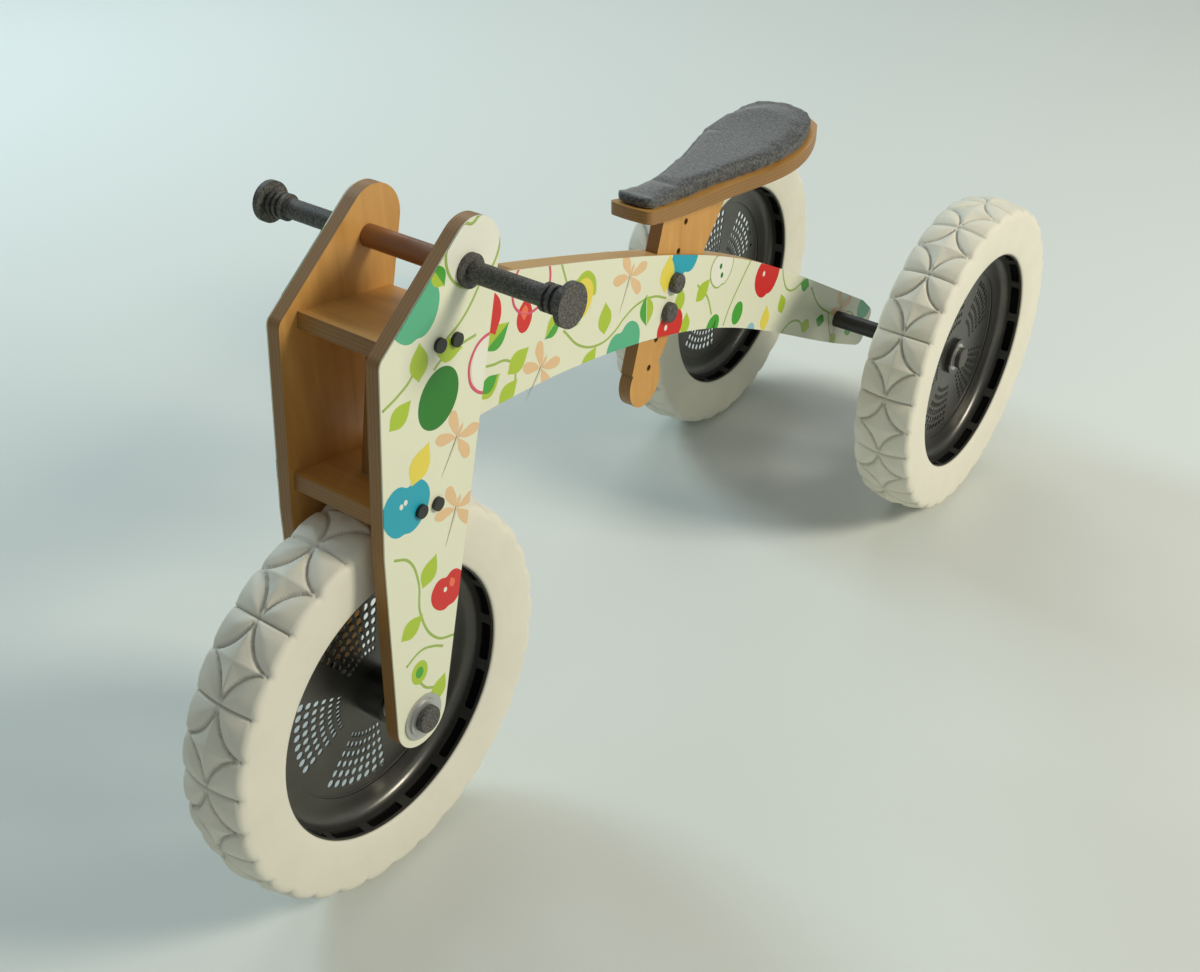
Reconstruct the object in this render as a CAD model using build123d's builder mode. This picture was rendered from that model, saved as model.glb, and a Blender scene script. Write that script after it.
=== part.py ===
from build123d import *
import os
from math import sin, cos, atan2, radians, hypot

os.makedirs("parts", exist_ok=True)

# ---- driving dimensions, mm and degrees -------------------------------------------------
# running gear
wheel_base = 659.6
track = 268.0
tyre_od = 305.0
tyre_width = 55.0
tyre_wall = 5.0
tyre_lip = 1.5
rim_radius = 106.0
rim_half = 22.0
rim_wall = 2.0
band_thickness = 1.0
dish_radius = 83.0
dish_depth = 12.0
web_thickness = 3.0
crease_height = 0.7
slot_count = 16
slot_length = 32.0
slot_width = 8.0
hub_radius = 17.0
front_hub_half = 22.0
rear_hub_inner = 30.0
rear_hub_outer = 5.0
bearing_od = 26.0
bearing_width = 8.0
axle_diameter = 10.0
running_clearance = 0.05
side_gap = 0.3

# fork
steer_rake = 11.3
fork_gap = 71.0
plate_thickness = 10.0
fork_print = 1.0
tip_radius = 24.0
bow_radius = 6.0
corner_radius = 8.0
lobe_radius = 23.3
shelf_thickness = 11.0
shelf_front = 44.3
shelf_back_upper = 38.0
shelf_back_lower = 31.0
tyre_gap = 6.7
head_gap = 98.7
shelf_bolt = 5.0
shelf_bolt_head = 9.5
shelf_bolt_length = 28.0
shelf_bolt_pitch = 15.4
lower_bolt_shift = 7.6
barrel_diameter = 9.0
washer_large = 35.0
washer_small = 28.0
washer_thickness = 1.5
axle_cap_diameter = 20.0
axle_cap_height = 5.0
cap_wall = 1.6
nut_thickness = 3.0
spacer_diameter = 16.0

# handlebar
bar_rise = 155.2
bar_set_back = 77.0
bar_diameter = 15.0
bar_rod_diameter = 8.0
grip_length = 78.0
grip_diameter = 13.6
grip_flange = 22.0
grip_flange_thickness = 3.5
grip_end = 28.0
grip_end_thickness = 4.0
grip_rib = 18.0

# steering head
pin_diameter = 12.0
pin_depth = 8.0
bush_wall = 2.0
boss_diameter = 28.0
thrust_od = 26.0
thrust_thickness = 1.5
cheek_start = 60.0
head_block_reach = 112.0

# beam
cheek_thickness = 2.5
beam_print = 0.8
beam_depth_head = 107.9
tail_length = 79.0
sleeve_diameter = 16.0

# seat and its post
seat_station = 0.483
beam_bow = 47.5
post_thickness = 11.0
post_side_play = 0.2
post_angle = 65.8
hole_pitch = 24.1
hole_diameter = 5.4
clamp_bolt = 5.0
clamp_head = 10.0
clamp_head_thickness = 3.0
clamp_cap = 16.5
clamp_cap_height = 6.0
post_foot = 72.45
post_foot_radius = 21.5
post_top_front = -5.9
post_top_rear = 97.5
post_clearance = 1.0
seat_rise = 69.8
seat_length = 238.5
seat_width = 88.4
nose_width = 38.0
rear_width = 67.6
seat_nose = -48.0
board_thickness = 10.5
pad_inset = 3.0
pad_thickness = 9.0
screw_diameter = 5.0
screw_length = 36.0

# ---- derived places ----------------------------------------------------------------------
wheel_r = tyre_od / 2
rake_sin = sin(radians(steer_rake))
rake_cos = cos(radians(steer_rake))
lower_shelf = wheel_r + tyre_gap
lower_top = lower_shelf + shelf_thickness
upper_shelf = lower_top + head_gap
upper_top = upper_shelf + shelf_thickness
plate_in = fork_gap / 2
plate_out = plate_in + plate_thickness
fork_out = plate_out + fork_print
core_thickness = post_thickness + 2 * post_side_play
cheek_in = core_thickness / 2
cheek_out = cheek_in + cheek_thickness
beam_out = cheek_out + beam_print
front_centre = (0, -wheel_base / 2, wheel_r)
rear_centre = (0, wheel_base / 2, wheel_r)

# side view, x rearwards and y up from the front axle; steering view, x across the steering
# axis and y along it; and the plan plane square to the steering axis
side = Plane(origin=front_centre, x_dir=(0, 1, 0), z_dir=(1, 0, 0))
steer_side = Plane(origin=front_centre, x_dir=(0, rake_cos, -rake_sin), z_dir=(1, 0, 0))
steer = Plane(origin=front_centre, x_dir=(0, rake_cos, -rake_sin), z_dir=(0, rake_sin, rake_cos))


def steer_pt(s, t):
    """Side-view point from distances across and along the steering axis."""
    return (s * rake_cos + t * rake_sin, t * rake_cos - s * rake_sin)


# the beam is drawn along a straight line from the middle of the head to the rear axle
head_mid = steer_pt(0, (lower_top + upper_shelf) / 2)
spine_angle = atan2(-head_mid[1], wheel_base - head_mid[0])
spine_length = hypot(head_mid[1], wheel_base - head_mid[0])


def spine_pt(share, rise):
    """Side-view point at a share of the way to the rear axle and a height off that line."""
    x = head_mid[0] + share * spine_length * cos(spine_angle) - rise * sin(spine_angle)
    y = head_mid[1] + share * spine_length * sin(spine_angle) + rise * cos(spine_angle)
    return (x, y)


clamp_mid = spine_pt(seat_station, beam_bow)
post_dir = (cos(radians(post_angle)), sin(radians(post_angle)))


def post_pt(along):
    """Side-view point on the line of holes in the seat post."""
    return (clamp_mid[0] + along * post_dir[0], clamp_mid[1] + along * post_dir[1])


def seat_pt(y, z):
    """Side-view point measured from the middle of the seat clamp."""
    return (clamp_mid[0] + y, clamp_mid[1] + z)


clamp_points = (post_pt(-hole_pitch / 2), post_pt(hole_pitch / 2))

# ---- outlines used by more than one piece ------------------------------------------------
head_top = steer_pt(cheek_start, lower_top + 14.6 + beam_depth_head)
head_low = steer_pt(cheek_start, lower_top + 14.6)
tail = tail_length / spine_length

with BuildSketch(side) as beam_outline:
    with BuildLine():
        top = Spline(head_top, spine_pt(0.345, 83.5), spine_pt(0.64, 73.5), spine_pt(0.88, 44.5),
                     spine_pt(1 + tail * 0.72, 14.5))
        Line(top @ 1, spine_pt(1 + tail * 1.12, 1.5))
        Line(spine_pt(1 + tail * 1.12, 1.5), spine_pt(1 + tail, -33.5))
        low = Spline(spine_pt(1 + tail * 0.86, -34.5), spine_pt(0.88, -11.5), spine_pt(0.64, 12.5),
                     spine_pt(0.40, 11.0), head_low)
        Line(spine_pt(1 + tail, -33.5), low @ 0)
        Line(low @ 1, head_top)
    make_face()
    tail_corners = beam_outline.vertices().sort_by(Axis.X)[-2:]
    fillet(tail_corners, radius=9)

plate_mid_y = wheel_r - 4.8
with BuildSketch(side) as fork_outline:
    Circle(tip_radius)
    with Locations((-11.7, plate_mid_y)):
        Circle(bow_radius)
    with Locations((3.2, wheel_r + 123.5)):
        Circle(corner_radius)
    with Locations((84.0, wheel_r + 163.0)):
        Circle(lobe_radius)
    make_hull()

board_top = [seat_pt(seat_nose - 6, 79.0 + 16.0), seat_pt(-10.5, 85.5), seat_pt(64.5, 81.1),
             seat_pt(130.5, 82.3), seat_pt(seat_nose + seat_length + 6, 96.0)]
board_under = [(y, z - board_thickness) for y, z in board_top]
pad_top = [(y, z + pad_thickness) for y, z in board_top]
clamp_world = clamp_mid[0] - wheel_base / 2

nose_y = clamp_world + seat_nose
plan_outlines = []
for inset in (0, pad_inset):
    nose_half = nose_width / 2 - inset
    half = seat_width / 2 - inset
    rear_half = rear_width / 2 - inset
    front_y = nose_y + inset
    rear_y = nose_y + seat_length - inset
    with BuildSketch(Plane.XY) as plan_outline:
        with BuildLine():
            Spline((nose_half, front_y + 3), (nose_half + 0.6, nose_y + 38), (half - 12.8, nose_y + 113),
                   (half, nose_y + 178), (rear_half, rear_y - 11))
            ThreePointArc((rear_half, rear_y - 11), (0, rear_y), (-rear_half, rear_y - 11))
            Spline((-rear_half, rear_y - 11), (-half, nose_y + 178), (12.8 - half, nose_y + 113),
                   (-nose_half - 0.6, nose_y + 38), (-nose_half, front_y + 3))
            ThreePointArc((-nose_half, front_y + 3), (0, front_y), (nose_half, front_y + 3))
        make_face()
        fillet(plan_outline.vertices().sort_by(Axis.Y)[:2], radius=6)
        fillet(plan_outline.vertices().sort_by(Axis.Y)[-2:], radius=5)
    plan_outlines.append(plan_outline)
board_outline, pad_outline = plan_outlines

# ---- beam: printed faces, cheeks, core and head block -------------------------------------
for name, x0 in (("left", cheek_in), ("right", -cheek_out)):
    with BuildPart() as cheek:
        with BuildSketch(side.offset(x0)):
            add(beam_outline.sketch_local)
            with Locations(clamp_points):
                Circle(clamp_bolt / 2, mode=Mode.SUBTRACT)
            with Locations((wheel_base, 0)):
                Circle(axle_diameter / 2, mode=Mode.SUBTRACT)
        extrude(amount=cheek_thickness)
    cheek.part.label = f"beam_cheek_{name}"
    export_step(cheek.part, f"parts/beam_cheek_{name}.step")

for name, x0 in (("left", cheek_out), ("right", -beam_out)):
    with BuildPart() as face:
        with BuildSketch(side.offset(x0)):
            add(beam_outline.sketch_local)
            with Locations(clamp_points):
                Circle(clamp_bolt / 2, mode=Mode.SUBTRACT)
            with Locations((wheel_base, 0)):
                Circle(axle_diameter / 2, mode=Mode.SUBTRACT)
        extrude(amount=beam_print)
    face.part.label = f"beam_print_{name}"
    export_step(face.part, f"parts/beam_print_{name}.step")

# the slot between the two cores clears the post over its whole travel
slot_front_low = (clamp_mid[0] - 48.2 - 18 - post_clearance, clamp_mid[1] - 51.7 - 50)
slot_front_top = seat_pt(post_top_front - post_clearance, seat_rise)
slot_rear_low = seat_pt(-16.4 - 43 + post_clearance, -62 - 50)
slot_rear_top = seat_pt(post_top_rear + post_clearance, seat_rise)
slot_foot = post_pt(-post_foot + hole_pitch / 2)
far_front = steer_pt(head_block_reach, 0)
far_front_top = steer_pt(head_block_reach, upper_top + 100)

with BuildPart() as beam_core_front:
    with BuildSketch(side.offset(-cheek_in)):
        add(beam_outline.sketch_local)
        with BuildLine():
            Polyline(far_front, slot_front_low, slot_front_top, far_front_top, close=True)
        make_face(mode=Mode.INTERSECT)
    extrude(amount=core_thickness)
beam_core_front.part.label = "beam_core_front"
export_step(beam_core_front.part, "parts/beam_core_front.step")

with BuildPart() as beam_core_rear:
    with BuildSketch(side.offset(-cheek_in)):
        add(beam_outline.sketch_local)
        with BuildLine():
            Polyline(slot_rear_low, slot_rear_top, (wheel_base + 200, slot_rear_top[1]),
                     (wheel_base + 200, -200), close=True)
        make_face(mode=Mode.INTERSECT)
        with Locations(slot_foot):
            SlotCenterToCenter(hole_pitch, 2 * (post_foot_radius + post_clearance),
                               rotation=post_angle, mode=Mode.SUBTRACT)
        with Locations((wheel_base, 0)):
            Circle(axle_diameter / 2, mode=Mode.SUBTRACT)
    extrude(amount=core_thickness)
beam_core_rear.part.label = "beam_core_rear"
export_step(beam_core_rear.part, "parts/beam_core_rear.step")

# boss round the king pin between the shelves, and the tongue that joins it to the beam
boss_low = lower_top + thrust_thickness + side_gap
boss_high = upper_shelf - thrust_thickness - side_gap
tongue_gap = 2.5
with BuildPart() as head_block:
    with BuildSketch(steer.offset(boss_low)):
        Circle(boss_diameter / 2)
    extrude(amount=boss_high - boss_low)
    with BuildSketch(steer_side.offset(-cheek_in)):
        with BuildLine():
            Polyline((0, lower_top + tongue_gap + 12), (cheek_start, lower_top + 14.6),
                     (cheek_start, upper_shelf - tongue_gap), (0, upper_shelf - tongue_gap), close=True)
        make_face()
    extrude(amount=core_thickness)
    with BuildSketch(side.offset(-cheek_in)):
        add(beam_outline.sketch_local)
        with BuildLine():
            Polyline(steer_pt(cheek_start - 5, 0), far_front, far_front_top,
                     steer_pt(cheek_start - 5, upper_top + 100), close=True)
        make_face(mode=Mode.INTERSECT)
    extrude(amount=core_thickness)
    with BuildSketch(steer.offset(boss_low)):
        Circle(pin_diameter / 2)
    extrude(amount=boss_high - boss_low, mode=Mode.SUBTRACT)
head_block.part.label = "head_block"
export_step(head_block.part, "parts/head_block.step")

pin_low = lower_top - pin_depth + side_gap
pin_high = upper_shelf + pin_depth - side_gap
with BuildPart() as king_pin:
    with BuildSketch(steer.offset(pin_low)):
        Circle(pin_diameter / 2)
    extrude(amount=pin_high - pin_low)
king_pin.part.label = "king_pin"
export_step(king_pin.part, "parts/king_pin.step")

# ---- seat clamp: two bolts, their nuts and the dark caps over both ends --------------------
with BuildPart() as seat_clamp_bolts:
    with BuildSketch(side.offset(-beam_out - clamp_head_thickness)):
        with Locations(clamp_points):
            Circle(clamp_bolt / 2)
    extrude(amount=2 * beam_out + clamp_head_thickness)
    with BuildSketch(side.offset(beam_out)):
        with Locations(clamp_points):
            Circle(clamp_head / 2)
    extrude(amount=clamp_head_thickness)
seat_clamp_bolts.part.label = "seat_clamp_bolts"
export_step(seat_clamp_bolts.part, "parts/seat_clamp_bolts.step")

with BuildPart() as seat_clamp_nuts:
    with BuildSketch(side.offset(-beam_out - clamp_head_thickness)):
        with Locations(clamp_points):
            RegularPolygon(clamp_head / 2, 6)
            Circle(clamp_bolt / 2, mode=Mode.SUBTRACT)
    extrude(amount=clamp_head_thickness)
seat_clamp_nuts.part.label = "seat_clamp_nuts"
export_step(seat_clamp_nuts.part, "parts/seat_clamp_nuts.step")

with BuildPart() as seat_clamp_caps:
    for x0, x1 in ((beam_out, 0), (-beam_out - clamp_cap_height, clamp_cap_height - clamp_head_thickness)):
        with BuildSketch(side.offset(x0)):
            with Locations(clamp_points):
                Circle(clamp_cap / 2)
        extrude(amount=clamp_cap_height)
        with BuildSketch(side.offset(x0 + x1)):
            with Locations(clamp_points):
                Circle(clamp_head / 2 + side_gap)
        extrude(amount=clamp_head_thickness, mode=Mode.SUBTRACT)
    outer_rims = (seat_clamp_caps.edges().filter_by(GeomType.CIRCLE)
                  .filter_by(lambda e: e.radius > clamp_cap / 2 - 0.1)
                  .filter_by(lambda e: abs(e.center().X) > beam_out + 1))
    fillet(outer_rims, radius=2)
seat_clamp_caps.part.label = "seat_clamp_caps"
export_step(seat_clamp_caps.part, "parts/seat_clamp_caps.step")

# ---- rear axle ---------------------------------------------------------------------------
rear_side = Plane(origin=rear_centre, x_dir=(0, 1, 0), z_dir=(1, 0, 0))
rear_washer = track / 2 + rear_hub_outer + side_gap
rear_nut = rear_washer + washer_thickness
rear_end = rear_nut + nut_thickness
with BuildPart() as rear_axle:
    with BuildSketch(rear_side.offset(-rear_end)):
        Circle(axle_diameter / 2)
    extrude(amount=2 * rear_end)
rear_axle.part.label = "rear_axle"
export_step(rear_axle.part, "parts/rear_axle.step")

sleeve_length = track / 2 - rear_hub_inner - side_gap - beam_out
with BuildPart() as rear_axle_sleeves:
    for x0 in (beam_out, -beam_out - sleeve_length):
        with BuildSketch(rear_side.offset(x0)):
            Circle(sleeve_diameter / 2)
            Circle(axle_diameter / 2, mode=Mode.SUBTRACT)
        extrude(amount=sleeve_length)
rear_axle_sleeves.part.label = "rear_axle_sleeves"
export_step(rear_axle_sleeves.part, "parts/rear_axle_sleeves.step")

with BuildPart() as rear_axle_washers:
    for x0 in (rear_washer, -rear_nut):
        with BuildSketch(rear_side.offset(x0)):
            Circle(axle_cap_diameter / 2)
            Circle(axle_diameter / 2, mode=Mode.SUBTRACT)
        extrude(amount=washer_thickness)
rear_axle_washers.part.label = "rear_axle_washers"
export_step(rear_axle_washers.part, "parts/rear_axle_washers.step")

axle_nut = axle_cap_diameter / 2 - cap_wall - 0.4
with BuildPart() as rear_axle_nuts:
    for x0 in (rear_nut, -rear_end):
        with BuildSketch(rear_side.offset(x0)):
            RegularPolygon(axle_nut, 6)
            Circle(axle_diameter / 2, mode=Mode.SUBTRACT)
        extrude(amount=nut_thickness)
rear_axle_nuts.part.label = "rear_axle_nuts"
export_step(rear_axle_nuts.part, "parts/rear_axle_nuts.step")

with BuildPart() as rear_axle_caps:
    for x0, x1 in ((rear_nut, 0), (-rear_nut - axle_cap_height, axle_cap_height - nut_thickness - 0.2)):
        with BuildSketch(rear_side.offset(x0)):
            Circle(axle_cap_diameter / 2)
        extrude(amount=axle_cap_height)
        with BuildSketch(rear_side.offset(x0 + x1)):
            Circle(axle_nut + 0.2)
        extrude(amount=nut_thickness + 0.2, mode=Mode.SUBTRACT)
    outer_rims = (rear_axle_caps.edges().filter_by(GeomType.CIRCLE)
                  .filter_by(lambda e: e.radius > axle_cap_diameter / 2 - 0.1)
                  .filter_by(lambda e: abs(e.center().X) > rear_nut + 1))
    fillet(outer_rims, radius=1.4)
rear_axle_caps.part.label = "rear_axle_caps"
export_step(rear_axle_caps.part, "parts/rear_axle_caps.step")

# ---- fork plates, printed faces and shelves ------------------------------------------------
bar_point = (bar_set_back, wheel_r + bar_rise)
upper_mid = upper_shelf + shelf_thickness / 2
lower_mid = lower_shelf + shelf_thickness / 2
upper_marks = (-shelf_bolt_pitch / 2, shelf_bolt_pitch / 2)
lower_marks = (upper_marks[0] - lower_bolt_shift, upper_marks[1] - lower_bolt_shift)
bolt_points = [steer_pt(s, upper_mid) for s in upper_marks] + [steer_pt(s, lower_mid) for s in lower_marks]
for name, x0 in (("left", plate_in), ("right", -plate_out)):
    with BuildPart() as plate:
        with BuildSketch(side.offset(x0)):
            add(fork_outline.sketch_local)
            Circle(axle_diameter / 2, mode=Mode.SUBTRACT)
            with Locations(bar_point):
                Circle(bar_rod_diameter / 2, mode=Mode.SUBTRACT)
            with Locations(bolt_points):
                Circle(shelf_bolt / 2, mode=Mode.SUBTRACT)
        extrude(amount=plate_thickness)
    plate.part.label = f"fork_plate_{name}"
    export_step(plate.part, f"parts/fork_plate_{name}.step")

for name, x0 in (("left", plate_out), ("right", -fork_out)):
    with BuildPart() as face:
        with BuildSketch(side.offset(x0)):
            add(fork_outline.sketch_local)
            Circle(axle_diameter / 2, mode=Mode.SUBTRACT)
            with Locations(bar_point):
                Circle(bar_rod_diameter / 2, mode=Mode.SUBTRACT)
            with Locations(bolt_points):
                Circle(shelf_bolt / 2, mode=Mode.SUBTRACT)
        extrude(amount=fork_print)
    face.part.label = f"fork_print_{name}"
    export_step(face.part, f"parts/fork_print_{name}.step")

# a shelf is drilled blind for the king pin bush, crosswise for its bolts and from below
# for the barrel nuts that the bolts screw into
barrel_x = plate_in - 12
bush_radius = pin_diameter / 2 + running_clearance + bush_wall
for name, low, back, bush_low, marks in (
        ("upper", upper_shelf, shelf_back_upper, upper_shelf, upper_marks),
        ("lower", lower_shelf, shelf_back_lower, lower_top - pin_depth, lower_marks)):
    with BuildPart() as shelf:
        with BuildSketch(steer.offset(low)):
            with Locations(((back - shelf_front) / 2, 0)):
                Rectangle(back + shelf_front, fork_gap)
        extrude(amount=shelf_thickness)
        with BuildSketch(steer.offset(bush_low)):
            Circle(bush_radius)
        extrude(amount=pin_depth, mode=Mode.SUBTRACT)
        with BuildSketch(steer.offset(low)):
            with Locations([(s, x) for s in marks for x in (barrel_x, -barrel_x)]):
                Circle(barrel_diameter / 2)
        extrude(amount=shelf_thickness - 1.5, mode=Mode.SUBTRACT)
        for x0 in (plate_in - shelf_bolt_length + plate_thickness, -plate_in):
            with BuildSketch(steer_side.offset(x0)):
                with Locations([(s, low + shelf_thickness / 2) for s in marks]):
                    Circle(shelf_bolt / 2)
            extrude(amount=shelf_bolt_length - plate_thickness, mode=Mode.SUBTRACT)
    shelf.part.label = f"fork_shelf_{name}"
    export_step(shelf.part, f"parts/fork_shelf_{name}.step")

with BuildPart() as shelf_bolts:
    for x0, x1 in ((fork_out - shelf_bolt_length, fork_out), (-fork_out, -fork_out - 2.5)):
        with BuildSketch(side.offset(x0)):
            with Locations(bolt_points):
                Circle(shelf_bolt / 2)
        extrude(amount=shelf_bolt_length)
        with BuildSketch(side.offset(x1)):
            with Locations(bolt_points):
                Circle(shelf_bolt_head / 2)
        extrude(amount=2.5)
shelf_bolts.part.label = "shelf_bolts"
export_step(shelf_bolts.part, "parts/shelf_bolts.step")

with BuildPart() as shelf_barrel_nuts:
    for low, marks in ((upper_shelf, upper_marks), (lower_shelf, lower_marks)):
        with BuildSketch(steer.offset(low)):
            with Locations([(s, x) for s in marks for x in (barrel_x, -barrel_x)]):
                Circle(barrel_diameter / 2)
        extrude(amount=shelf_thickness - 1.5)
    with BuildSketch(side.offset(-plate_in)):
        with Locations(bolt_points):
            Circle(shelf_bolt / 2)
    extrude(amount=fork_gap, mode=Mode.SUBTRACT)
shelf_barrel_nuts.part.label = "shelf_barrel_nuts"
export_step(shelf_barrel_nuts.part, "parts/shelf_barrel_nuts.step")

with BuildPart() as steering_bushes:
    for low in (upper_shelf, lower_top - pin_depth):
        with BuildSketch(steer.offset(low)):
            Circle(bush_radius)
            Circle(pin_diameter / 2 + running_clearance, mode=Mode.SUBTRACT)
        extrude(amount=pin_depth)
steering_bushes.part.label = "steering_bushes"
export_step(steering_bushes.part, "parts/steering_bushes.step")

with BuildPart() as steering_washers:
    for low in (lower_top, upper_shelf - thrust_thickness):
        with BuildSketch(steer.offset(low)):
            Circle(thrust_od / 2)
            Circle(pin_diameter / 2 + side_gap, mode=Mode.SUBTRACT)
        extrude(amount=thrust_thickness)
steering_washers.part.label = "steering_washers"
export_step(steering_washers.part, "parts/steering_washers.step")

# ---- handlebar: wooden bar between the plates, rod through it and a grip on each end --------
grip_stop = fork_out + grip_length
with BuildPart() as handlebar:
    with BuildSketch(side.offset(-plate_in)):
        with Locations(bar_point):
            Circle(bar_diameter / 2)
            Circle(bar_rod_diameter / 2, mode=Mode.SUBTRACT)
    extrude(amount=fork_gap)
handlebar.part.label = "handlebar"
export_step(handlebar.part, "parts/handlebar.step")

rod_half = grip_stop - grip_end_thickness - 2
with BuildPart() as handlebar_rod:
    with BuildSketch(side.offset(-rod_half)):
        with Locations(bar_point):
            Circle(bar_rod_diameter / 2)
    extrude(amount=2 * rod_half)
handlebar_rod.part.label = "handlebar_rod"
export_step(handlebar_rod.part, "parts/handlebar_rod.step")

# each grip is turned about the bar: flange, slim body, three ribs and a broad end disc
bar_world = (0, bar_point[0] - wheel_base / 2, bar_point[1] + wheel_r)
bar_axis = Axis(bar_world, (1, 0, 0))
for name, sign in (("left", 1), ("right", -1)):
    with BuildPart() as grip:
        with BuildSketch(Plane(origin=bar_world, x_dir=(sign, 0, 0), z_dir=(0, -sign, 0))):
            with Locations((fork_out + grip_length / 2, grip_diameter / 4)):
                Rectangle(grip_length, grip_diameter / 2)
            with Locations((fork_out + grip_flange_thickness / 2, grip_flange / 4)):
                Rectangle(grip_flange_thickness, grip_flange / 2)
            with Locations((grip_stop - grip_end_thickness / 2, grip_end / 4)):
                Rectangle(grip_end_thickness, grip_end / 2)
            for k in range(3):
                with Locations((grip_stop - grip_end_thickness - 4.0 - 5.0 * k, grip_rib / 4)):
                    Rectangle(2.6, grip_rib / 2)
            with Locations((rod_half / 2, bar_rod_diameter / 4)):
                Rectangle(rod_half, bar_rod_diameter / 2, mode=Mode.SUBTRACT)
        revolve(axis=bar_axis)
    grip.part.label = f"grip_{name}"
    export_step(grip.part, f"parts/grip_{name}.step")

# ---- front axle ----------------------------------------------------------------------------
front_nut = fork_out + 2 * washer_thickness
front_end = front_nut + nut_thickness
with BuildPart() as front_axle:
    with BuildSketch(side.offset(-front_end)):
        Circle(axle_diameter / 2)
    extrude(amount=2 * front_end)
front_axle.part.label = "front_axle"
export_step(front_axle.part, "parts/front_axle.step")

spacer_length = plate_in - front_hub_half - side_gap
with BuildPart() as front_hub_spacers:
    for x0 in (-plate_in, plate_in - spacer_length):
        with BuildSketch(side.offset(x0)):
            Circle(spacer_diameter / 2)
            Circle(axle_diameter / 2, mode=Mode.SUBTRACT)
        extrude(amount=spacer_length)
front_hub_spacers.part.label = "front_hub_spacers"
export_step(front_hub_spacers.part, "parts/front_hub_spacers.step")

with BuildPart() as front_axle_washers:
    for x0, od in ((fork_out, washer_large), (fork_out + washer_thickness, washer_small),
                   (-fork_out - washer_thickness, washer_large), (-front_nut, washer_small)):
        with BuildSketch(side.offset(x0)):
            Circle(od / 2)
            Circle(axle_diameter / 2, mode=Mode.SUBTRACT)
        extrude(amount=washer_thickness)
front_axle_washers.part.label = "front_axle_washers"
export_step(front_axle_washers.part, "parts/front_axle_washers.step")

with BuildPart() as front_axle_nuts:
    for x0 in (front_nut, -front_end):
        with BuildSketch(side.offset(x0)):
            RegularPolygon(axle_nut, 6)
            Circle(axle_diameter / 2, mode=Mode.SUBTRACT)
        extrude(amount=nut_thickness)
front_axle_nuts.part.label = "front_axle_nuts"
export_step(front_axle_nuts.part, "parts/front_axle_nuts.step")

with BuildPart() as front_axle_caps:
    for x0, x1 in ((front_nut, 0), (-front_nut - axle_cap_height, axle_cap_height - nut_thickness - 0.2)):
        with BuildSketch(side.offset(x0)):
            Circle(axle_cap_diameter / 2)
        extrude(amount=axle_cap_height)
        with BuildSketch(side.offset(x0 + x1)):
            Circle(axle_nut + 0.2)
        extrude(amount=nut_thickness + 0.2, mode=Mode.SUBTRACT)
    outer_rims = (front_axle_caps.edges().filter_by(GeomType.CIRCLE)
                  .filter_by(lambda e: e.radius > axle_cap_diameter / 2 - 0.1)
                  .filter_by(lambda e: abs(e.center().X) > front_nut + 1))
    fillet(outer_rims, radius=1.4)
front_axle_caps.part.label = "front_axle_caps"
export_step(front_axle_caps.part, "parts/front_axle_caps.step")

# ---- wheels ----------------------------------------------------------------------------------
# tyre, rim and band are drawn once about the origin in half section and mirrored across
band_radius = rim_radius - band_thickness
half_width = tyre_width / 2
with BuildPart() as tyre:
    with BuildSketch(Plane.XZ):
        with BuildLine():
            Polyline((0, wheel_r - tyre_wall), (half_width - 9, wheel_r - tyre_wall - 2),
                     (half_width - tyre_wall, wheel_r - 14), (half_width - tyre_wall - 3.5, rim_radius + 9),
                     (rim_half - 9, rim_radius + 3), (rim_half - 9, rim_radius),
                     (rim_half, rim_radius), (rim_half, rim_radius - tyre_lip),
                     (rim_half + 1.5, rim_radius - tyre_lip), (half_width - 0.6, rim_radius + 18),
                     (half_width, wheel_r - 9))
            ThreePointArc((half_width, wheel_r - 9), (half_width - 1.8, wheel_r - 5.6),
                          (half_width - 6, wheel_r - 4))
            ThreePointArc((half_width - 6, wheel_r - 4), (half_width - 17, wheel_r - 0.6), (0, wheel_r))
            Line((0, wheel_r), (0, wheel_r - tyre_wall))
        make_face()
        mirror(about=Plane.YZ)
    revolve(axis=Axis.X)

with BuildPart() as rim:
    with BuildSketch(Plane.XZ):
        with BuildLine():
            web = web_thickness / 2
            Polyline((0, dish_radius + 4), (0, hub_radius), (web, hub_radius), (web, dish_radius - 0.8),
                     (web + crease_height, dish_radius - 0.4), (web + crease_height, dish_radius))
            Spline((web + crease_height, dish_radius), (dish_depth, band_radius - rim_wall),
                   tangents=((0, 1), (1, 0)))
            Polyline((dish_depth, band_radius - rim_wall), (rim_half, band_radius - rim_wall + 0.8),
                     (rim_half, band_radius), (dish_depth, band_radius))
            Spline((dish_depth, band_radius), (0, dish_radius + 4), tangents=((-1, 0), (0, -1)))
        make_face()
        mirror(about=Plane.YZ)
    revolve(axis=Axis.X)
    # long rounded slots round both side walls of the rim
    slot_x = dish_depth + 0.6 + slot_width / 2
    for k in range(slot_count):
        angle = 360 / slot_count * (k + 0.5)
        radial = (0, cos(radians(angle)), sin(radians(angle)))
        root = (0, (band_radius - 6) * radial[1], (band_radius - 6) * radial[2])
        with BuildSketch(Plane(origin=root, x_dir=(1, 0, 0), z_dir=radial)):
            with Locations((slot_x, 0), (-slot_x, 0)):
                RectangleRounded(slot_width, slot_length, 2)
        extrude(amount=7, mode=Mode.SUBTRACT)

with BuildPart() as rim_band:
    with BuildSketch(Plane.YZ.offset(-rim_half)):
        Circle(rim_radius)
        Circle(band_radius, mode=Mode.SUBTRACT)
    extrude(amount=2 * rim_half)

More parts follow.
